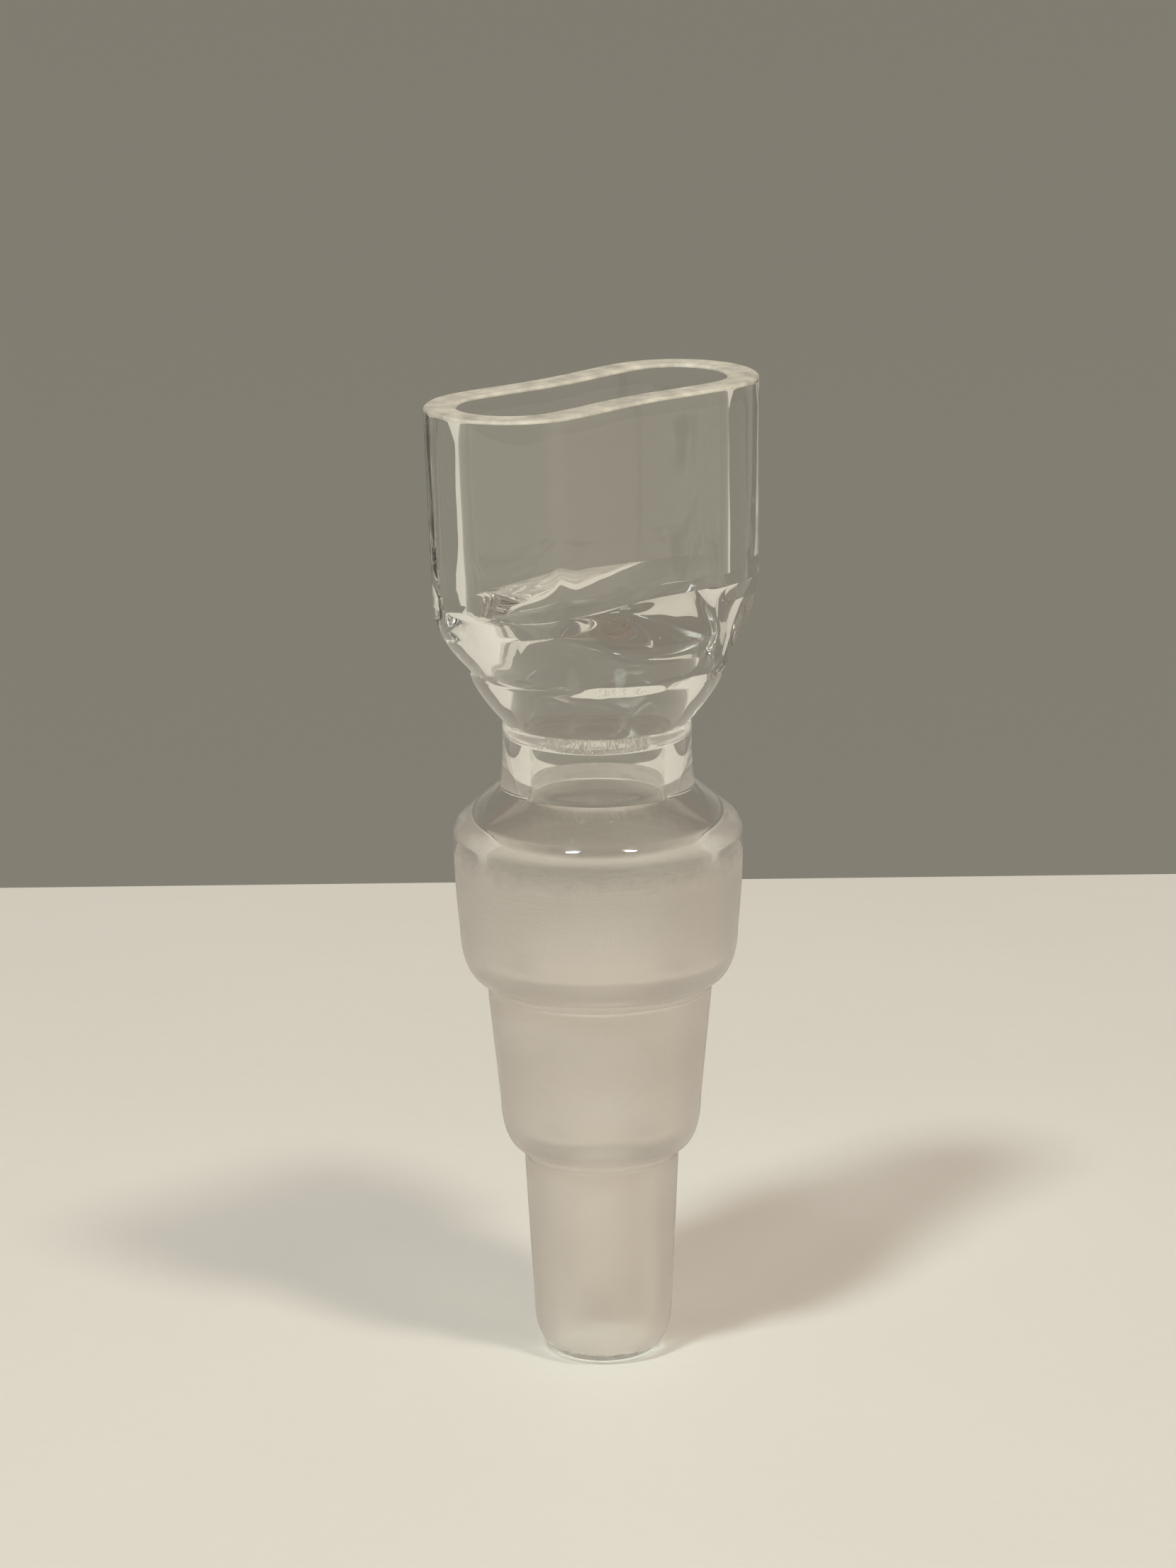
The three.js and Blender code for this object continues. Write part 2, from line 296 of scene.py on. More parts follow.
def large_joint_profile(shape):
    """A heel and a slightly bowed cone."""
    low, high = level("large_joint")
    outer = radii("large_joint", high)[1]
    foot = (outer - shape.large_bow, low + shape.hollow_length + shape.heel_length)
    bow = run(lambda t: (outer - shape.large_bow * (1 - t) ** 2, foot[1] + (high - foot[1]) * t), 16)
    weld = (radii("large_joint", low)[1], low)
    return joined(heel(shape, weld, foot), bow), stepped_bore(shape, "large_joint")


# The bore under the shoulder closes as a cone: how far in, and how far up or down, each end of the cone lies
# from the corner next to it, and how far below the cone its lower bend turns.
CONE_FOOT_IN, CONE_FOOT_UP = 0.3 * MM, 0.45 * MM
CONE_TOP_OUT, CONE_TOP_DOWN = 0.55 * MM, 0.5 * MM
CONE_BEND_DROP = 0.25 * MM


def joint_shoulder_profile(shape):
    """The crown and the straight slope to the neck, over a bore that closes as a cone."""
    low, high = level("joint_shoulder")
    bore, outer = radii("joint_shoulder", low)
    neck_bore, neck_foot = radii("joint_shoulder", high)
    centre = outer - shape.crown_radius
    crown = run(
        lambda t: (
            centre + shape.crown_radius * math.cos(t * shape.crown_sweep),
            low + shape.crown_radius * math.sin(t * shape.crown_sweep),
        ),
        20,
    )
    closed = low + shape.shoulder_bore
    cone_foot = (bore - CONE_FOOT_IN, low + CONE_FOOT_UP)
    cone_top = (neck_bore + CONE_TOP_OUT, closed - CONE_TOP_DOWN)
    ceiling = joined(
        bend((bore, low), (bore, cone_foot[1] - CONE_BEND_DROP), cone_foot),
        line(cone_foot, cone_top, 5),
        bend(cone_top, (neck_bore, closed), (neck_bore, high)),
    )
    return joined(crown, line(crown[-1], (neck_foot, high), 6)), ceiling


def neck_radii():
    """Bore and outer radius at the foot of the neck."""
    return radii("joint_shoulder", level("joint_shoulder")[1])


def waist_radius():
    """Outer radius at the top of the neck."""
    return radii("neck", level("neck")[1])[1]


def neck_profile(shape):
    """A tube that narrows a little towards the waist, over a straight bore."""
    low, high = level("neck")
    bore, foot = neck_radii()
    waist = waist_radius()
    outside = run(lambda t: (waist + (foot - waist) * (1 - t) ** 2, low + (high - low) * t), 16)
    return outside, line((bore, low), (bore, high))


def flared(span, foot, top, roundness, heights):
    """A flare between two radii, from a plain cone (roundness 0) to a quarter round (1)."""
    made = []
    for height in heights:
        share = max(0.0, (height - foot) / (top - foot))
        share += (math.sin(share * QUARTER) - share) * roundness
        made.append((span[0] + (span[1] - span[0]) * share, height))
    return made


def bowl_outside(shape, heights):
    """The outside from the waist to the top of the cup."""
    foot, top = level("waist_seam")[0] + shape.waist_band, level("cup")[1]
    return flared((waist_radius(), radii("cup", top)[1]), foot, top, shape.cup_roundness, heights)


def bowl_bore(shape, heights):
    """The bore from the waist to the top of the cup."""
    foot, top = level("waist_seam")[0] + shape.bore_band, level("cup")[1]
    return flared((neck_radii()[0], radii("cup", top)[0]), foot, top, shape.bore_roundness, heights)


def waist_seam_profile(shape):
    """A straight band on each side, and the start of the bowl."""
    low, high = level("waist_seam")
    sides = []
    for band, side in ((shape.waist_band, bowl_outside), (shape.bore_band, bowl_bore)):
        climb = side(shape, np.linspace(low + band, high, 6))
        radius = climb[0][0]
        sides.append(joined(line((radius, low), (radius, low + band)), climb))
    return tuple(sides)


def cup_profile(shape):
    """The rest of the bowl."""
    heights = np.linspace(*level("cup"), 14)
    return bowl_outside(shape, heights), bowl_bore(shape, heights)


PROFILES = {
    "polished_tip": tip_profile,
    "small_joint": small_joint_profile,
    "middle_joint": middle_joint_profile,
    "large_joint": large_joint_profile,
    "joint_shoulder": joint_shoulder_profile,
    "neck": neck_profile,
    "waist_seam": waist_seam_profile,
    "cup": cup_profile,
}


# ---- Outlines of the flattened sections ----

MOUTH_SIDES = 240
AROUND = 2 * math.pi * np.arange(MOUTH_SIDES) / MOUTH_SIDES
END_WIDTH = 0.45  # an end's belly begins at this share of the way from the middle to the end
EDGE_STEPS = 5  # segments in each rounded edge of the rim
RIPPLE_SIZE = 3.2 * MM
FINE_RIPPLE_SHARE, FINE_RIPPLE_SCALE = 0.5, 2.3
RIPPLE_RISE = 1.5 * MM  # the ripples grow over this height above the cup's foot
RIPPLE_FADE = 5 * MM  # and die away over this height above the mouth shoulder


def mouth_plan(shape):
    """Outline of the rim starting at its +X end, and which way it faces: a stadium with dipped flats."""
    low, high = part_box("mouth_rim")
    length, width = high.x - low.x, high.y - low.y
    end_radius = width / 2
    flat = length - width
    arc = math.pi * end_radius / 2
    reach = (math.pi * end_radius + flat) / 2
    points, facing = [], []
    for i in range(MOUTH_SIDES):
        turn, local = divmod(4 * i / MOUTH_SIDES, 1)
        along = ((1 - local) if turn % 2 else local) * reach
        angle = min(along, arc) / end_radius
        x = flat / 2 - max(along - arc, 0) + end_radius * math.cos(angle)
        y = end_radius * math.sin(angle)
        if x < flat / 2:
            y -= shape.dip * (1 + math.cos(2 * math.pi * x / flat)) / 2
        sign_x = -1 if turn in (1, 2) else 1
        sign_y = -1 if turn > 1 else 1
        points.append((sign_x * x, sign_y * y))
        facing.append((sign_x * math.cos(angle), sign_y * math.sin(angle)))
    return np.array(points), np.array(facing)


def mouth_outline(shape, plan, height, inset):
    """The mouth's outline at a height, on the outside (inset 0) or further in."""
    points, facing = plan
    foot, top = level("mouth_tube")[0], level("mouth_rim")[1]
    below = min((top - height) / (top - foot), 1)
    half = np.abs(points[:, 0]).max()
    lean = np.where(points[:, 0] > 0, shape.far_lean, shape.near_lean)
    x = points[:, 0] * (1 - below * lean / half)
    return np.column_stack(
        [x - facing[:, 0] * inset, points[:, 1] - facing[:, 1] * inset, np.full(MOUTH_SIDES, height)]
    )


def flatness(shape, height, bore):
    """How far each share of the way round has turned from round (0) to flat (1) at a height."""
    cup_top, tube_foot = level("mouth_shoulder")
    across = np.cos(AROUND)
    end = np.clip((np.abs(across) - END_WIDTH) / (1 - END_WIDTH), 0, 1)
    endness = end * end * (3 - 2 * end)
    drop, rise = (shape.bore_drop, shape.bore_rise) if bore else (0, 0)
    crease = tube_foot - shape.crease_drop - drop
    shelf = np.clip((height - crease + shape.shelf) / shape.shelf, 0, 1)
    start = cup_top + rise + np.where(across > 0, shape.far_start, shape.near_start)
    top = tube_foot + rise - np.where(across > 0, shape.far_drop, shape.near_drop)
    belly = np.clip((height - start) / (top - start), 0, 1)
    round_belly = np.sin(belly * QUARTER)
    if bore:
        round_belly = belly + (round_belly - belly) * shape.bore_roundness
    return (1 - np.sqrt(1 - shelf**2)) * (1 - endness) + round_belly * endness


def circle_row(radius, height):
    """A round outline."""
    return np.column_stack([radius * np.cos(AROUND), radius * np.sin(AROUND), np.full(MOUTH_SIDES, height)])


def shoulder_outline(shape, plan, height, bore):
    """The mouth shoulder's outline at a height, between the cup's circle and the flattened tube."""
    circle = circle_row(radii("cup", level("cup")[1])[0 if bore else 1], height)
    flat = mouth_outline(shape, plan, height, shape.wall if bore else 0)
    return circle + (flat - circle) * flatness(shape, height, bore)[:, None]


def shoulder_heights(shape, bore):
    """Heights of the mouth shoulder's outlines, closest together under the crease."""
    low, high = level("mouth_shoulder")
    crease = high - shape.crease_drop - (shape.bore_drop if bore else 0)
    shelf_foot = crease - shape.shelf
    climb = shelf_foot + shape.shelf * np.sin(np.linspace(0, QUARTER, 22))
    return np.concatenate([np.linspace(low, shelf_foot, 9)[:-1], climb, np.linspace(crease, high, 8)[1:]])


def ripple_strength(height):
    """How strong the ripples are: nothing at the cup's foot, and nothing by the middle of the mouth tube."""
    rising = min(1, (height - level("cup")[0]) / RIPPLE_RISE)
    falling = min(1, max(0, (level("mouth_shoulder")[1] + RIPPLE_FADE - height) / RIPPLE_FADE))
    return rising * falling


def rippled(shape, outline):
    """A level outline of the bore, moved in and out by the ripples that the flame left."""
    made = outline.copy()
    strength = shape.ripple * ripple_strength(outline[0][2])
    for row in made:
        place = Vector(row) / RIPPLE_SIZE
        fine = noise.noise(place * FINE_RIPPLE_SCALE)
        row[:2] *= 1 + strength * (noise.noise(place) + FINE_RIPPLE_SHARE * fine) / math.hypot(row[0], row[1])
    return made


def rim_side(shape, plan, inset, inwards):
    """One side of the rim, whose edge is rounded further in (inwards 1) or back out (-1)."""
    foot, top = level("mouth_rim")
    edge = shape.rim_round
    rows = [mouth_outline(shape, plan, foot, inset)]
    for turn in np.linspace(0, QUARTER, EDGE_STEPS + 1):
        height = top - edge + edge * math.sin(turn)
        rows.append(mouth_outline(shape, plan, height, inset + inwards * edge * (1 - math.cos(turn))))
    return rows


def flattened_rows(joints, shape):
    """Outside and bore outlines of the sections from the waist to the rim, each from its lower weld up."""
    plan = mouth_plan(shape)
    seam_outside, seam_bore = ([circle_row(r, h) for r, h in side] for side in waist_seam_profile(joints))
    cup_outside, cup_bore = ([circle_row(r, h) for r, h in side] for side in cup_profile(joints))
    tube = np.linspace(level("mouth_shoulder")[1], level("mouth_rim")[0], 12)
    return {
        "waist_seam": (seam_outside, seam_bore),
        "cup": (cup_outside, [rippled(shape, row) for row in cup_bore]),
        "mouth_shoulder": (
            [shoulder_outline(shape, plan, h, False) for h in shoulder_heights(shape, False)],
            [rippled(shape, shoulder_outline(shape, plan, h, True)) for h in shoulder_heights(shape, True)],
        ),
        "mouth_tube": (
            [mouth_outline(shape, plan, h, 0) for h in tube],
            [rippled(shape, mouth_outline(shape, plan, h, shape.wall)) for h in tube],
        ),
        "mouth_rim": (rim_side(shape, plan, 0, 1), rim_side(shape, plan, shape.wall, -1)),
    }


# ---- Smooth normals that carry on across the welds ----

CREASE = math.cos(math.radians(34))  # segments that turn further than this keep an edge


def unit(vectors):
    """Vectors at length 1."""
    length = np.linalg.norm(vectors, axis=-1, keepdims=True)
    return vectors / np.maximum(length, 1e-12)


def segment_normals(rows, side):
    """Normals at the lower and the upper end of each segment of a run of outlines, on the outside (side 1) or
    in a bore (-1)."""
    rows = np.array(rows)
    around = unit(np.roll(rows, -1, 1) - np.roll(rows, 1, 1))
    climb = unit(rows[1:] - rows[:-1])
    flat = [unit(np.cross((around[k] + around[k + 1]) / 2, climb[k])) * side for k in range(len(climb))]
    lower, upper = list(flat), list(flat)
    for k in range(len(climb) - 1):
        alike = (flat[k] * flat[k + 1]).sum(-1, keepdims=True) > CREASE
        shared = unit(flat[k] + flat[k + 1])
        upper[k] = np.where(alike, shared, flat[k])
        lower[k + 1] = np.where(alike, shared, flat[k + 1])
    return lower, upper


def run_normals(names, rows, which, side):
    """segment_normals of one side of several sections joined end to end, given back section by section."""
    chain = list(rows[names[0]][which])
    for name in names[1:]:
        chain += list(rows[name][which])[1:]
    lower, upper = segment_normals(chain, side)
    made, first = {}, 0
    for name in names:
        last = first + len(rows[name][which]) - 1
        made[name] = (lower[first:last], upper[first:last])
        first = last
    return made


def segment_ends(names, rows, node):
    """Normals at the start and the end of each segment of a section's loop, up the outside and down the bore.
    The flat faces at its welds have none."""
    up = list(zip(*run_normals(names, rows, 0, 1)[node]))
    down = [(upper, lower) for lower, upper in zip(*run_normals(names, rows, 1, -1)[node])]
    return [*up, None, *reversed(down), None]


def profile_rows(profile):
    """A round profile as outlines of three points, enough to find its normals at the middle one."""
    return [[(r, -MM, h), (r, 0, h), (r, MM, h)] for r, h in profile]


FLAT_NAMES = ("waist_seam", "cup", "mouth_shoulder", "mouth_tube", "mouth_rim")


# ---- Materials ----


class Nodes:
    """Short ways to add and link the nodes of a material or a group."""

    def __init__(self, tree):
        self.tree = tree
        tree.nodes.clear()

    def add(self, kind, inputs=None, **settings):
        """A new node, with its settings, and its inputs each given a value or linked to a socket."""
        node = self.tree.nodes.new(kind)
        for key, value in settings.items():
            setattr(node, key, value)
        for key, value in (inputs or {}).items():
            self.put(node.inputs[key], value)
        return node

    def put(self, socket, value):
        """Links a socket's value, or sets a plain one."""
        if isinstance(value, bpy.types.NodeSocket):
            self.tree.links.new(value, socket)
        else:
            socket.default_value = value

    def math(self, operation, *values):
        """The result of a math node."""
        return self.add("ShaderNodeMath", dict(enumerate(values)), operation=operation).outputs[0]

    def vector(self, operation, a, b):
        """The vector that a vector math node gives."""
        return self.add("ShaderNodeVectorMath", {0: a, 1: b}, operation=operation).outputs[0]

    def ramp(self, value, low, high, start=0.0, end=1.0):
        """start below low and end above high, with a soft change between."""
        node = self.add(
            "ShaderNodeMapRange",
            {"Value": value, "From Min": low, "From Max": high, "To Min": start, "To Max": end},
            interpolation_type="SMOOTHSTEP",
        )
        return node.outputs[0]

    def mix(self, share, a, b):
        """A colour between a and b."""
        node = self.add("ShaderNodeMix", {0: share, 6: a, 7: b}, data_type="RGBA")
        return node.outputs[2]


def opaque(tint, share=1.0):
    """A colour for a socket, darker or lighter by a share."""
    return (*(part * share for part in tint), 1.0)


def built_tree(family, name, inputs, outputs, build):
    """A node tree with named sockets, built once. An input is the kind of its socket and its default value,
    or None where it has none."""
    if name in bpy.data.node_groups:
        return bpy.data.node_groups[name]
    tree = bpy.data.node_groups.new(name, family)
    for label, (kind, default) in inputs.items():
        socket = tree.interface.new_socket(name=label, in_out="INPUT", socket_type=f"NodeSocket{kind}")
        if default is not None:
            socket.default_value = default
    for label, kind in outputs.items():
        tree.interface.new_socket(name=label, in_out="OUTPUT", socket_type=f"NodeSocket{kind}")
    n = Nodes(tree)
    n.add("NodeGroupOutput", build(n, n.add("NodeGroupInput").outputs))
    return tree


SURFACE = {"Colour": "Color", "Roughness": "Float", "Height": "Float"}
LAPPING = (180.0, 180.0, 5200.0)  # scale of the lapping rings: coarse round the axis, fine along it


def ground_grain():
    """Fine grain of ground glass, with faint lapping rings round the axis."""

    def build(n, given):
        place = given["Place"]
        scale = n.math("DIVIDE", 1.0, given["Grain"])
        speckle = {"Vector": place, "Scale": scale, "Detail": 3.0, "Roughness": 0.6}
        grain = n.add("ShaderNodeTexNoise", speckle)
        cloud_scale = n.math("DIVIDE", 1.0, given["Cloud Size"])
        cloud = n.add("ShaderNodeTexNoise", {"Vector": place, "Scale": cloud_scale, "Detail": 2.0})
        squash = n.vector("MULTIPLY", place, LAPPING)
        rings = n.add("ShaderNodeTexNoise", {"Vector": squash, "Scale": 1.0, "Detail": 2.0}).outputs[0]
        shade = n.math("MULTIPLY_ADD", n.math("SUBTRACT", cloud.outputs[0], 0.5), given["Cloud"], 1.0)
        tint = n.add("ShaderNodeVectorMath", {0: given["Tint"], 3: shade}, operation="SCALE").outputs[0]
        uneven = n.math("MULTIPLY", n.math("SUBTRACT", rings, 0.5), 0.12)
        return {
            "Colour": tint,
            "Roughness": n.math("ADD", given["Roughness"], uneven),
            "Height": n.math("ADD", grain.outputs[0], n.math("MULTIPLY", rings, given["Rings"])),
        }

    inputs = {
        "Place": ("Vector", None),
        "Tint": ("Color", (0.8, 0.74, 0.64, 1.0)),
        "Grain": ("Float", 0.12 * MM),
        "Cloud": ("Float", 0.12),
        "Cloud Size": ("Float", 3.8 * MM),
        "Rings": ("Float", 0.5),
        "Roughness": ("Float", 0.6),
    }
    return built_tree("ShaderNodeTree", "Ground Glass Grain", inputs, SURFACE, build)


def melt_marks():
    """Faint smears of haze and slow waves that flame working leaves in clear glass."""

    def build(n, given):
        place = given["Place"]
        mist = {"Vector": place, "Scale": 420.0, "Detail": 4.0, "Roughness": 0.62}
        haze = n.add("ShaderNodeTexNoise", mist)
        waves = n.add("ShaderNodeTexNoise", {"Vector": place, "Scale": 190.0, "Detail": 1.0})
        smear = n.ramp(haze.outputs[0], 0.52, 0.78, 0.0, given["Haze"])
        return {
            "Colour": n.mix(n.math("MULTIPLY", smear, 2.0), given["Tint"], (0.93, 0.92, 0.89, 1.0)),
            "Roughness": n.math("ADD", given["Roughness"], smear),
            "Height": waves.outputs[0],
        }

    inputs = {
        "Place": ("Vector", None),
        "Tint": ("Color", (0.985, 0.985, 0.965, 1.0)),
        "Haze": ("Float", 0.05),
        "Roughness": ("Float", 0.02),
    }
    return built_tree("ShaderNodeTree", "Flame Worked Glass", inputs, SURFACE, build)


def grouped(n, tree, values):
    """The outputs of a node group with these values."""
    node = n.add("ShaderNodeGroup")
    node.node_tree = tree
    for label, value in values.items():
        n.put(node.inputs[label], value)
    return node.outputs


GLASS_IOR = 1.47


def glass_shader(n, out, strength, distance, transmission=1.0):
    """Glass with the colour, roughness and relief that an effect puts out."""
    bump = n.add("ShaderNodeBump", {"Strength": strength, "Distance": distance, "Height": out["Height"]})
    inputs = {
        "Base Color": out["Colour"],
        "Roughness": out["Roughness"],
        "Normal": bump.outputs[0],
        "Transmission Weight": transmission,
        "IOR": GLASS_IOR,
    }
    return n.add("ShaderNodeBsdfPrincipled", inputs).outputs[0]


def clear_shader(n, place, finish):
    """Clear glass, as the flame left it."""
    values = {
        "Place": place,
        "Tint": opaque(finish.clear_tint),
        "Haze": 0.05,
        "Roughness": finish.clear_roughness,
    }
    return glass_shader(n, grouped(n, melt_marks(), values), strength=0.25, distance=0.12 * MM)


def fresh_material(name):
    """A new material, and its empty nodes."""
    material = bpy.data.materials.new(name)
    material.use_nodes = True
    return material, Nodes(material.node_tree)


def glass_material(name, finish, build):
    """A material whose shader build makes, and that lets the lamps through to what it stands on."""
    if name in bpy.data.materials:
        return bpy.data.materials[name]
    material, n = fresh_material(name)
    place = n.add("ShaderNodeTexCoord").outputs["Object"]
    glass = build(n, place)
    way_through = n.add("ShaderNodeBsdfTransparent", {"Color": opaque(finish.shade)}).outputs[0]
    shadow = n.add("ShaderNodeLightPath").outputs["Is Shadow Ray"]
    both = n.add("ShaderNodeMixShader", {0: shadow, 1: glass, 2: way_through}).outputs[0]
    n.add("ShaderNodeOutputMaterial", {"Surface": both})
    return material


def clear_glass(finish):
    """The clear glass of the cup, the mouth, the neck and the bores."""
    return glass_material("Clear Glass", finish, lambda n, place: clear_shader(n, place, finish))


RAGGED_EDGE = 0.6 * MM  # height of the band in which the edge of the ground belt wanders
FOOT_FADE = 0.3 * MM  # height over which the grinding starts above the clear foot


def ground_glass(finish):
    """Ground glass that fades into clear glass on the shoulder and at the fire-polished foot."""

    def build(n, place):
        values = {
            "Place": place,
            "Tint": opaque(finish.ground_tint),
            "Grain": finish.grain,
            "Roughness": finish.ground_roughness,
        }
        grain = grouped(n, ground_grain(), values)
        ground = glass_shader(n, grain, 0.35, 0.06 * MM, finish.ground_transmission)
        ragged = n.add("ShaderNodeTexNoise", {"Vector": place, "Scale": 900.0, "Detail": 3.0}).outputs[0]
        wander = n.math("MULTIPLY", n.math("SUBTRACT", ragged, 0.5), RAGGED_EDGE)
        rise = n.math("ADD", n.add("ShaderNodeSeparateXYZ", {0: place}).outputs["Z"], wander)
        full = level("large_joint")[1] - finish.fade_drop
        above = n.ramp(rise, full, full + finish.fade, 1.0, 0.0)
        below = n.ramp(rise, finish.clear_foot, finish.clear_foot + FOOT_FADE)
        share = n.math("MULTIPLY", above, below)
        clear = clear_shader(n, place, finish)
        return n.add("ShaderNodeMixShader", {0: share, 1: clear, 2: ground}).outputs[0]

    return glass_material("Ground Glass", finish, build)


def cut_glass(finish):
    """The cloudy, flat-cut face of the rim."""

    def build(n, place):
        values = {
            "Place": place,
            "Tint": opaque(finish.cut_tint),
            "Grain": 0.3 * MM,
            "Cloud": 1.1,
            "Cloud Size": 1.1 * MM,
            "Rings": 0.0,
            "Roughness": 0.45,
        }
        return glass_shader(n, grouped(n, ground_grain(), values), 0.5, 0.1 * MM, 0.4)

    return glass_material("Cut Glass", finish, build)


def seam_frost(finish):
    """The pale strokes in the seam at the waist."""

    def build(n, place):
        values = {
            "Place": place,
            "Tint": (0.9, 0.86, 0.78, 1.0),
            "Grain": 0.1 * MM,
            "Rings": 0.0,
            "Roughness": 0.6,
        }
        return glass_shader(n, grouped(n, ground_grain(), values), 0.4, 0.1 * MM, 0.3)

    return glass_material("Seam Frost", finish, build)


def weld():
    """The inside of a weld, where two sections are one glass."""
    if "Weld" in bpy.data.materials:
        return bpy.data.materials["Weld"]
    material, n = fresh_material("Weld")
    through = n.add("ShaderNodeBsdfTransparent")
    n.add("ShaderNodeOutputMaterial", {"Surface": through.outputs[0]})
    return material


# ---- Making pieces ----


def finish_piece(obj, node):
    """Hands a finished mesh over to the frame as the look of one CAD node."""
    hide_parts(node)
    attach(obj, "root")
    return obj


def set_normals(mesh, corner_normal):
    """Gives every face corner the normal that corner_normal(face, vertex) returns."""
    mesh.shade_smooth()
    normals = [corner_normal(face, vertex) for face in mesh.polygons for vertex in face.vertices]
    mesh.normals_split_custom_set(normals)


AXIS_RADIUS = 10 * MM  # of the circle that a profile is carried round; its points are drawn from there
ROUND_SIDES = 192


def turned_tree():
    """Geometry nodes that turn a closed profile round the axis."""

    def build(n, given):
        profile = n.add("GeometryNodeMeshToCurve", {0: given["Profile"]}).outputs[0]
        ring = {"Resolution": given["Sides"], "Radius": given["Axis Radius"]}
        circle = n.add("GeometryNodeCurvePrimitiveCircle", ring).outputs[0]
        turned = n.add("GeometryNodeCurveToMesh", {"Curve": circle, "Profile Curve": profile}).outputs[0]
        facing_out = n.add("GeometryNodeFlipFaces", {0: turned}).outputs[0]
        smooth = n.add("GeometryNodeSetShadeSmooth", {0: facing_out}).outputs[0]

        place = n.add("GeometryNodeInputPosition").outputs[0]
        height = n.add("ShaderNodeSeparateXYZ", {0: place}).outputs["Z"]
        facing = n.add("GeometryNodeInputNormal").outputs[0]
        upward = n.add("ShaderNodeSeparateXYZ", {0: facing}).outputs["Z"]
        level_face = n.math("GREATER_THAN", n.math("ABSOLUTE", upward), 0.9999)

        def near(label):
            return n.math("LESS_THAN", n.math("ABSOLUTE", n.math("SUBTRACT", height, given[label])), ON_FACE)

        at_weld = n.math("MULTIPLY", level_face, n.math("MAXIMUM", near("Lower Weld"), near("Upper Weld")))
        aside = n.vector("MULTIPLY", place, (1.0, 1.0, 0.0))
        outwards = n.add("ShaderNodeVectorMath", {0: aside, 1: facing}, operation="DOT_PRODUCT")
        in_bore = n.math("LESS_THAN", outwards.outputs["Value"], 0.0)

        glass = n.add("GeometryNodeRealizeInstances", {0: smooth}).outputs[0]
        for selection, label in ((True, "Outside"), (in_bore, "Bore"), (at_weld, "Weld")):
            coat = {"Geometry": glass, "Selection": selection, "Material": given[label]}
            glass = n.add("GeometryNodeSetMaterial", coat).outputs[0]
        return {"Glass": glass}

    inputs = {
        "Profile": ("Geometry", None),
        "Sides": ("Int", None),
        "Axis Radius": ("Float", None),
        "Lower Weld": ("Float", None),
        "Upper Weld": ("Float", None),
        "Outside": ("Material", None),
        "Bore": ("Material", None),
        "Weld": ("Material", None),
    }
    return built_tree("GeometryNodeTree", "Turned Glass", inputs, {"Glass": "Geometry"}, build)


def applied(obj, tree, values):
    """Replaces obj's mesh with a plain mesh of what a geometry node tree makes of it with these inputs."""
    modifier = obj.modifiers.new(tree.name, "NODES")
    modifier.node_group = tree
    sockets = {s.name: s.identifier for s in tree.interface.items_tree if s.in_out == "INPUT"}
    for label, value in values.items():
        modifier[sockets[label]] = value
    depsgraph = bpy.context.evaluated_depsgraph_get()
    mesh = bpy.data.meshes.new_from_object(
        obj.evaluated_get(depsgraph), preserve_all_data_layers=True, depsgraph=depsgraph
    )
    mesh.name = obj.name
    obj.modifiers.remove(modifier)
    obj.data = mesh


def new_object(name, mesh):
    """A mesh as an object of the scene."""
    obj = bpy.data.objects.new(name, mesh)
    bpy.context.scene.collection.objects.link(obj)
    return obj


def turned_mesh(node, loop, materials):
    """A round section as an object, and for each of its vertices the point of the loop that it comes from."""
    count = len(loop)
    profile = bpy.data.meshes.new(node)
    points = [(r - AXIS_RADIUS, -h, 0) for r, h in loop]
    profile.from_pydata(points, [(i, (i + 1) % count) for i in range(count)], [])
    row = profile.attributes.new("row", "FLOAT", "POINT")
    row.data.foreach_set("value", np.arange(count, dtype=np.float32))
    low, high = level(node)
    obj = new_object(f"{node}_glass", profile)
    values = {
        "Sides": ROUND_SIDES,
        "Axis Radius": AXIS_RADIUS,
        "Lower Weld": low if low > ON_FACE else -1.0,  # the tip's end face is open, so it isn't a weld
        "Upper Weld": high,
        **materials,
    }
    applied(obj, turned_tree(), values)
    bpy.data.meshes.remove(profile)
    mesh = obj.data
    rows = np.zeros(len(mesh.vertices), np.float32)
    mesh.attributes["row"].data.foreach_get("value", rows)
    mesh.attributes.remove(mesh.attributes["row"])
    return obj, np.rint(rows).astype(int)


def turned_piece(node, outside_glass, bore_glass):
    """A round section: its profile turned round the axis, with normals that carry on into its neighbours."""
    profiles = {name: profile(bpy.context.scene.adapter_joints) for name, profile in PROFILES.items()}
    outside, bore = profiles[node]
    loop = list(outside) + list(reversed(bore))
    if math.dist(outside[0], bore[0]) < TOUCHING:
        loop.pop()
    count = len(loop)
    obj, row = turned_mesh(node, loop, {"Outside": outside_glass, "Bore": bore_glass, "Weld": weld()})
    mesh = obj.data
    rows = {name: [profile_rows(side) for side in sides] for name, sides in profiles.items()}
    ends = segment_ends(tuple(PROFILES), rows, node)

    def corner_normal(face, vertex):
        """The normal of the profile there, turned to the vertex's place round the axis."""
        first, last = min(row[v] for v in face.vertices), max(row[v] for v in face.vertices)
        segment = first if last - first == 1 else count - 1
        if ends[segment] is None:
            return face.normal
        out, _, up = ends[segment][0 if row[vertex] == segment else 1][1]
        co = mesh.vertices[vertex].co
        reach = math.hypot(co.x, co.y)
        return Vector((out * co.x / reach, out * co.y / reach, up))

    set_normals(mesh, corner_normal)
    return obj


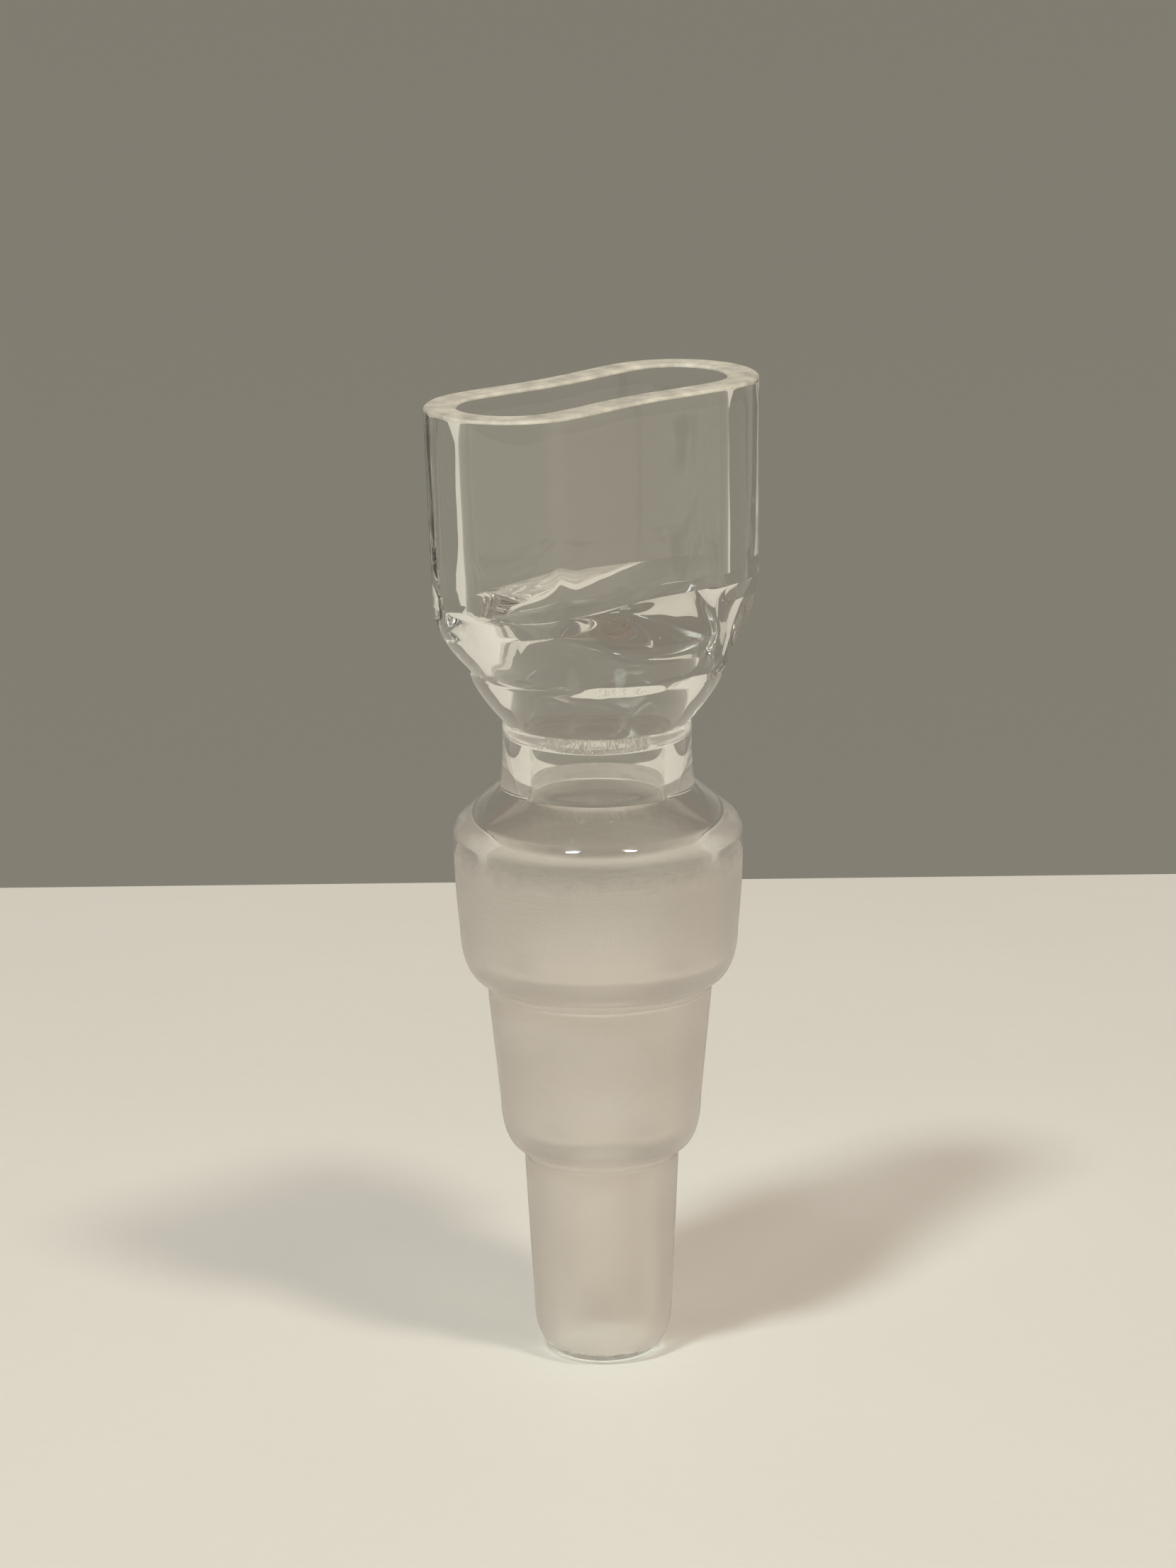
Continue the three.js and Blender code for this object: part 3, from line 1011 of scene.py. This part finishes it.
def flattened_piece(node, rows, outside_glass, bore_glass, rim_glass=None):
    """A flattened section: outlines up the outside and down the bore, with flat faces at its welds. With
    rim_glass, its top is an open end, flat-cut and rounded at its edges."""
    outside, bore = rows[node]
    loop = np.array(list(outside) + list(reversed(bore)))
    count, sides = loop.shape[:2]
    grid = np.arange(count * sides).reshape(count, sides)
    after, beside = np.roll(grid, -1, 0), np.roll(grid, -1, 1)
    faces = np.stack([grid, beside, np.roll(after, -1, 1), after], -1).reshape(-1, 4)
    mesh = bpy.data.meshes.new(f"{node}_glass")
    mesh.from_pydata(loop.reshape(-1, 3).tolist(), [], faces.tolist())

    ends = segment_ends(FLAT_NAMES, rows, node)
    glasses = [outside_glass, bore_glass, weld()]
    top = len(outside) - 1
    kinds = np.zeros(count, int)
    kinds[top + 1 :] = 1
    kinds[[top, count - 1]] = 2
    if rim_glass:
        glasses.append(rim_glass)
        kinds[top - EDGE_STEPS + 1 : top + EDGE_STEPS] = 3
        up = np.tile((0.0, 0.0, 1.0), (sides, 1))
        ends[top] = (up, up)
        ends[top - 1] = (ends[top - 1][0], up)
        ends[top + 1] = (up, ends[top + 1][1])
    for glass in glasses:
        mesh.materials.append(glass)
    mesh.polygons.foreach_set("material_index", np.repeat(kinds, sides).astype(np.int32))
    mesh.update()

    def corner_normal(face, vertex):
        """The normal of the face's segment at the vertex's outline."""
        segment, column = face.vertices[0] // sides, vertex % sides
        if ends[segment] is None:
            return face.normal
        return Vector(ends[segment][0 if vertex // sides == segment else 1][column])

    set_normals(mesh, corner_normal)
    return new_object(f"{node}_glass", mesh)


# ---- Operators ----


class ADAPTER_OT_tip(bpy.types.Operator):
    """Add the clear, fire-polished tip"""

    bl_idname = "adapter.tip"
    bl_label = "Polished Tip"

    def execute(self, context):
        finish = context.scene.adapter_finish
        tip = turned_piece("polished_tip", ground_glass(finish), clear_glass(finish))
        finish_piece(tip, "polished_tip")
        return {"FINISHED"}


class ADAPTER_OT_ground_joints(bpy.types.Operator):
    """Add the three ground joints"""

    bl_idname = "adapter.ground_joints"
    bl_label = "Ground Joints"

    def execute(self, context):
        finish = context.scene.adapter_finish
        for node in ("small_joint", "middle_joint", "large_joint"):
            joint = turned_piece(node, ground_glass(finish), clear_glass(finish))
            finish_piece(joint, node)
        return {"FINISHED"}


class ADAPTER_OT_shoulder_and_neck(bpy.types.Operator):
    """Add the shoulder above the large joint, and the neck"""

    bl_idname = "adapter.shoulder_and_neck"
    bl_label = "Shoulder and Neck"

    def execute(self, context):
        finish = context.scene.adapter_finish
        clear = clear_glass(finish)
        shoulder = turned_piece("joint_shoulder", ground_glass(finish), clear)
        finish_piece(shoulder, "joint_shoulder")
        finish_piece(turned_piece("neck", clear, clear), "neck")
        return {"FINISHED"}


def seam_marks_tree():
    """Geometry nodes that strew short upright strokes round the bore."""

    def build(n, given):
        def chance(step, low, high):
            """A number for each mark, different for each step."""
            node = n.add("FunctionNodeRandomValue", data_type="FLOAT")
            seed = n.math("ADD", given["Seed"], float(step))
            for key, value in ((2, low), (3, high), (8, seed)):
                n.put(node.inputs[key], value)
            return node.outputs[1]

        angle = chance(0, 0.0, 2 * math.pi)
        rise = n.math("MULTIPLY", n.math("POWER", chance(1, 0.0, 1.0), 1.5), given["Band"])
        radius = n.math("ADD", given["Radius"], n.math("MULTIPLY", rise, given["Widening"]))
        across = n.math("MULTIPLY", n.math("COSINE", angle), radius)
        along = n.math("MULTIPLY", n.math("SINE", angle), radius)
        height = n.math("ADD", given["Foot"], rise)
        spot = n.add("ShaderNodeCombineXYZ", {0: across, 1: along, 2: height}).outputs[0]
        points = n.add("GeometryNodeMeshLine", {"Count": given["Count"]}).outputs[0]
        strewn = n.add("GeometryNodeSetPosition", {0: points, "Position": spot}).outputs[0]

        cone = {
            "Vertices": 5,
            "Radius Top": n.math("MULTIPLY", given["Stroke Radius"], 0.4),
            "Radius Bottom": given["Stroke Radius"],
            "Depth": given["Stroke Length"],
        }
        stroke = n.add("GeometryNodeMeshCone", cone).outputs[0]
        tilt = n.math("MULTIPLY", chance(2, -1.0, 1.0), given["Tilt"])
        turn = n.add("ShaderNodeCombineXYZ", {0: tilt, 1: 0.0, 2: angle}).outputs[0]
        stretch = {0: chance(3, 0.5, 1.3), 1: chance(4, 0.5, 1.3), 2: chance(5, 0.15, 1.0)}
        scale = n.add("ShaderNodeCombineXYZ", stretch).outputs[0]
        copies = {"Points": strewn, "Instance": stroke, "Rotation": turn, "Scale": scale}
        marks = n.add("GeometryNodeInstanceOnPoints", copies).outputs[0]
        real = n.add("GeometryNodeRealizeInstances", {0: marks}).outputs[0]
        frosted = n.add("GeometryNodeSetMaterial", {"Geometry": real, "Material": given["Frost"]}).outputs[0]
        return {"Marks": frosted}

    inputs = {
        "Count": ("Int", None),
        "Radius": ("Float", None),
        "Widening": ("Float", None),
        "Foot": ("Float", None),
        "Band": ("Float", None),
        "Stroke Length": ("Float", None),
        "Stroke Radius": ("Float", None),
        "Tilt": ("Float", None),
        "Seed": ("Int", None),
        "Frost": ("Material", None),
    }
    return built_tree("GeometryNodeTree", "Seam Marks", inputs, {"Marks": "Geometry"}, build)


def seam_marks(joints, frost):
    """The pale strokes that working the seam left in the bore."""
    low = level("waist_seam")[0]
    marks = new_object("seam_marks", bpy.data.meshes.new("seam_marks"))
    values = {
        "Count": joints.mark_count,
        "Radius": radii("waist_seam", low)[0] - joints.mark_reach,
        "Widening": 0.25,
        "Foot": low + joints.marks_foot,
        "Band": joints.marks_band,
        "Stroke Length": joints.mark_length,
        "Stroke Radius": joints.mark_radius,
        "Tilt": 0.6,
        "Seed": 7,
        "Frost": frost,
    }
    applied(marks, seam_marks_tree(), values)
    marks.data.materials.clear()
    marks.data.materials.append(frost)
    marks.data.polygons.foreach_set("material_index", [0] * len(marks.data.polygons))
    return marks


class ADAPTER_OT_waist_seam(bpy.types.Operator):
    """Add the seam at the waist, with the marks that it left in the bore"""

    bl_idname = "adapter.waist_seam"
    bl_label = "Waist Seam"

    def execute(self, context):
        finish = context.scene.adapter_finish
        clear = clear_glass(finish)
        seam = turned_piece("waist_seam", clear, clear)
        marks = seam_marks(context.scene.adapter_joints, seam_frost(finish))
        with context.temp_override(active_object=seam, selected_editable_objects=[seam, marks]):
            bpy.ops.object.join()
        finish_piece(seam, "waist_seam")
        return {"FINISHED"}


class ADAPTER_OT_mouth(bpy.types.Operator):
    """Add the cup and the flattened mouth above it"""

    bl_idname = "adapter.mouth"
    bl_label = "Cup and Mouth"

    def execute(self, context):
        finish = context.scene.adapter_finish
        clear = clear_glass(finish)
        rows = flattened_rows(context.scene.adapter_joints, context.scene.adapter_mouth)
        for node in ("cup", "mouth_shoulder", "mouth_tube"):
            finish_piece(flattened_piece(node, rows, clear, clear), node)
        rim = flattened_piece("mouth_rim", rows, clear, clear, cut_glass(finish))
        finish_piece(rim, "mouth_rim")
        return {"FINISHED"}


VIEW_TURN = math.radians(-42)
RIGHT = Vector((math.cos(VIEW_TURN), math.sin(VIEW_TURN), 0))
DEPTH = Vector((-math.sin(VIEW_TURN), math.cos(VIEW_TURN), 0))
UP = Vector((0, 0, 1))


def seen(right, depth, up):
    """A direction or place given as right, away from the camera, and up."""
    return RIGHT * right + DEPTH * depth + UP * up


def pale_paint(look):
    """Matt paint with faint clouds and a fine tooth."""
    material, n = fresh_material("Pale Paint")
    place = n.add("ShaderNodeTexCoord").outputs["Object"]
    cloud = n.add("ShaderNodeTexNoise", {"Vector": place, "Scale": 30.0, "Detail": 3.0}).outputs[0]
    tint = n.mix(n.ramp(cloud, 0.3, 0.7), opaque(look.floor_colour, 0.985), opaque(look.floor_colour))
    fine = n.add("ShaderNodeTexNoise", {"Vector": place, "Scale": 500.0, "Detail": 4.0}).outputs[0]
    bump = n.add("ShaderNodeBump", {"Strength": 0.12, "Distance": 0.4 * MM, "Height": fine}).outputs[0]
    inputs = {"Base Color": tint, "Roughness": 0.55, "Normal": bump, "Specular IOR Level": 0.3}
    paint = n.add("ShaderNodeBsdfPrincipled", inputs)
    n.add("ShaderNodeOutputMaterial", {"Surface": paint.outputs[0]})
    return material


def floor_slab(look):
    """A painted slab, wide enough to fill what the glass bends into view from its sides."""
    aside, front, back, thick = 0.45, -0.30, 0.114, 0.012
    outline = ((-aside, front), (aside, front), (aside, back), (-aside, back))
    corners = [seen(x, y, z) for z in (-thick, 0) for x, y in outline]
    walls = [(k, (k + 1) % 4, (k + 1) % 4 + 4, k + 4) for k in range(4)]
    mesh = bpy.data.meshes.new("floor")
    mesh.from_pydata(corners, [], [(3, 2, 1, 0), (4, 5, 6, 7), *walls])
    mesh.materials.append(pale_paint(look))
    return new_object("floor", mesh)


def room(look):
    """The background: a plain wall at the horizon that turns into a dim sky overhead."""
    world = bpy.data.worlds.new("Room")
    world.use_nodes = True
    n = Nodes(world.node_tree)
    way = n.add("ShaderNodeTexCoord").outputs["Generated"]
    rise = n.add("ShaderNodeSeparateXYZ", {0: way}).outputs["Z"]
    wall = n.mix(n.ramp(rise, -0.30, -0.08), opaque(look.wall_colour, 1.03), opaque(look.wall_colour, 0.98))
    sky = n.mix(n.ramp(rise, 0.05, 0.9), wall, opaque(look.sky_colour))
    glow = n.add("ShaderNodeBackground", {"Color": sky, "Strength": 1.0})
    n.add("ShaderNodeOutputWorld", {"Surface": glow.outputs[0]})
    return world


LAMP_DISTANCE = 1.0
LAMP_AIM = 30 * MM  # the lamps point at this height above the floor


def hang_lamp(look, name, way, tint, power):
    """A round lamp that hangs in a direction from the glass and points at it."""
    lamp = bpy.data.lights.new(name, "AREA")
    lamp.shape = "DISK"
    lamp.size = look.lamp_size
    lamp.color = tint
    lamp.energy = power
    obj = bpy.data.objects.new(name, lamp)
    bpy.context.scene.collection.objects.link(obj)
    aim = seen(*way).normalized()
    obj.location = aim * LAMP_DISTANCE + UP * LAMP_AIM
    obj.rotation_euler = aim.to_track_quat("Z", "Y").to_euler()


def place_camera(look):
    """The camera, in front of the glass and above it, looking down."""
    aside, back, height = -0.00062, 0.380, 0.139
    pitch, roll = math.radians(-14.80), 0.0118
    camera = bpy.data.objects.new("camera", bpy.data.cameras.new("camera"))
    bpy.context.scene.collection.objects.link(camera)
    camera.data.lens = look.lens
    camera.data.sensor_width = 36
    camera.data.clip_start = 0.01
    camera.location = seen(aside, -back, height)
    ahead = seen(0, math.cos(pitch), math.sin(pitch))
    over = ahead.cross(RIGHT) * -1
    turn = Matrix((RIGHT, over, -ahead)).transposed()
    camera.rotation_mode = "QUATERNION"
    camera.rotation_quaternion = (turn @ Matrix.Rotation(-roll, 3, "Z")).to_quaternion()
    return camera


class ADAPTER_OT_stage(bpy.types.Operator):
    """Add the floor, the background, the lamps and the camera"""

    bl_idname = "adapter.stage"
    bl_label = "Stage"

    def execute(self, context):
        scene = context.scene
        look = scene.adapter_stage
        floor = floor_slab(look)
        scene.world = room(look)
        hang_lamp(look, "warm_lamp", (0.328, -0.378, 0.866), look.warm, look.warm_power)
        hang_lamp(look, "cool_lamp", (-0.263, -0.425, 0.866), look.cool, look.cool_power)
        scene.camera = place_camera(look)
        scene.view_settings.view_transform = "Standard"
        scene.cycles.max_bounces = 32
        scene.cycles.transmission_bounces = 32
        scene.cycles.glossy_bounces = 12
        scene.cycles.transparent_max_bounces = 64
        return {"FINISHED"}


class ADAPTER_PT_panel(bpy.types.Panel):
    """The adapter's pieces, in the order in which they are made"""

    bl_idname = "ADAPTER_PT_panel"
    bl_label = "Glass Adapter"
    bl_space_type = "VIEW_3D"
    bl_region_type = "UI"
    bl_category = "Adapter"

    def draw(self, context):
        for operator in OPERATORS:
            self.layout.operator(operator.bl_idname)
        for name in GROUPS:
            held = getattr(context.scene, name)
            box = self.layout.box()
            for key in held.__annotations__:
                box.prop(held, key)


GROUPS = {
    "adapter_joints": JointSizes,
    "adapter_mouth": MouthSizes,
    "adapter_finish": GlassFinish,
    "adapter_stage": StageLook,
}
OPERATORS = (
    ADAPTER_OT_tip,
    ADAPTER_OT_ground_joints,
    ADAPTER_OT_shoulder_and_neck,
    ADAPTER_OT_waist_seam,
    ADAPTER_OT_mouth,
    ADAPTER_OT_stage,
)


def register():
    """Adds the classes, and their settings to the scene."""
    for made in (*GROUPS.values(), *OPERATORS, ADAPTER_PT_panel):
        bpy.utils.register_class(made)
    for name, kind in GROUPS.items():
        setattr(bpy.types.Scene, name, bpy.props.PointerProperty(type=kind))


def unregister():
    """Takes them away again."""
    for name in GROUPS:
        delattr(bpy.types.Scene, name)
    for made in reversed((*GROUPS.values(), *OPERATORS, ADAPTER_PT_panel)):
        bpy.utils.unregister_class(made)


def main():
    """Makes every piece in order."""
    register()
    for operator in OPERATORS:
        family, name = operator.bl_idname.split(".")
        getattr(getattr(bpy.ops, family), name)()


if __name__ == "__main__":
    main()
